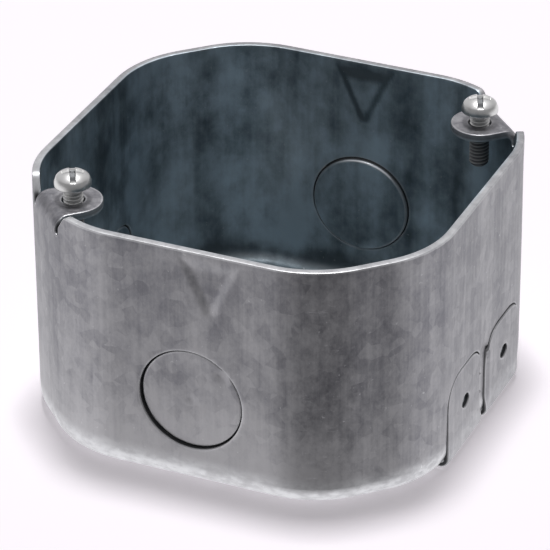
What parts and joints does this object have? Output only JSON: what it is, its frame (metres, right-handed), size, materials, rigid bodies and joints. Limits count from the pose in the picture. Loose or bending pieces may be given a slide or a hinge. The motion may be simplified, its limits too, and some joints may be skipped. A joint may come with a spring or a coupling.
{
  "type": "electrical junction box",
  "caption": "Drawn-steel octagon junction box with bent-in cover ears and screws, round knockouts, cable pry-outs and internal cable clamps.",
  "frame": {"origin": "middle of the underside of the floor", "axes": "+Z out of the open side; the walls with round knockouts face -Y (front) and +Y (back), the walls with cable pry-outs face +X (right) and -X (left), and the ears are on the +X+Y and -X-Y diagonals"},
  "size_m": [0.0908, 0.09, 0.0585],
  "materials": {
    "zinc_sheet": "zinc-coated drawn steel sheet, satin, mottled spangle with upright draw streaks",
    "zinc_cut_sheet": "the same sheet inside a punched outline, satin, bright sheared edge",
    "bright_plate": "bright zinc-plated screw steel",
    "clamp_plate": "zinc-plated pressed steel, satin"
  },
  "bodies": {
    "box": {"box_shell": "zinc_sheet", "knockout_wall_front": "zinc_cut_sheet", "knockout_wall_back": "zinc_cut_sheet", "knockout_floor_front": "zinc_cut_sheet", "knockout_floor_center": "zinc_cut_sheet", "knockout_floor_back": "zinc_cut_sheet", "pryout_right_front": "zinc_cut_sheet", "pryout_right_back": "zinc_cut_sheet", "pryout_left_front": "zinc_cut_sheet", "pryout_left_back": "zinc_cut_sheet"},
    "cover_screw_left": {"cover_screw_left": "bright_plate"},
    "cover_screw_right": {"cover_screw_right": "bright_plate"},
    "cable_clamp_left": {"cable_clamp_left": "clamp_plate"},
    "cable_clamp_right": {"cable_clamp_right": "clamp_plate"},
    "clamp_screw_left": {"clamp_screw_left": "bright_plate"},
    "clamp_screw_right": {"clamp_screw_right": "bright_plate"}
  },
  "joints": [
    {"name": "cover_screw_left_travel", "type": "slide", "parent": "box", "child": "cover_screw_left", "axis": [0, 0, 1], "range_m": [-0.0031, 0.006]},
    {"name": "cover_screw_right_travel", "type": "slide", "parent": "box", "child": "cover_screw_right", "axis": [0, 0, 1], "range_m": [-0.0025, 0.006]},
    {"name": "cable_clamp_left_travel", "type": "slide", "parent": "box", "child": "cable_clamp_left", "axis": [0, 0, 1], "range_m": [-0.004, 0]},
    {"name": "clamp_screw_left_turn", "type": "hinge", "parent": "cable_clamp_left", "child": "clamp_screw_left", "pos_m": [-0.03, -0.0008, 0.0122], "axis": [0, 0, 1], "range_deg": [-1815, 0]},
    {"name": "cable_clamp_right_travel", "type": "slide", "parent": "box", "child": "cable_clamp_right", "axis": [0, 0, 1], "range_m": [-0.004, 0]},
    {"name": "clamp_screw_right_turn", "type": "hinge", "parent": "cable_clamp_right", "child": "clamp_screw_right", "pos_m": [0.03, 0.0008, 0.0122], "axis": [0, 0, 1], "range_deg": [-1815, 0]}
  ],
  "couplings": [
    {"joint": "clamp_screw_left_turn", "follows": "cable_clamp_left_travel", "rad_per_m": 7915.8},
    {"joint": "clamp_screw_right_turn", "follows": "cable_clamp_right_travel", "rad_per_m": 7915.8}
  ]
}
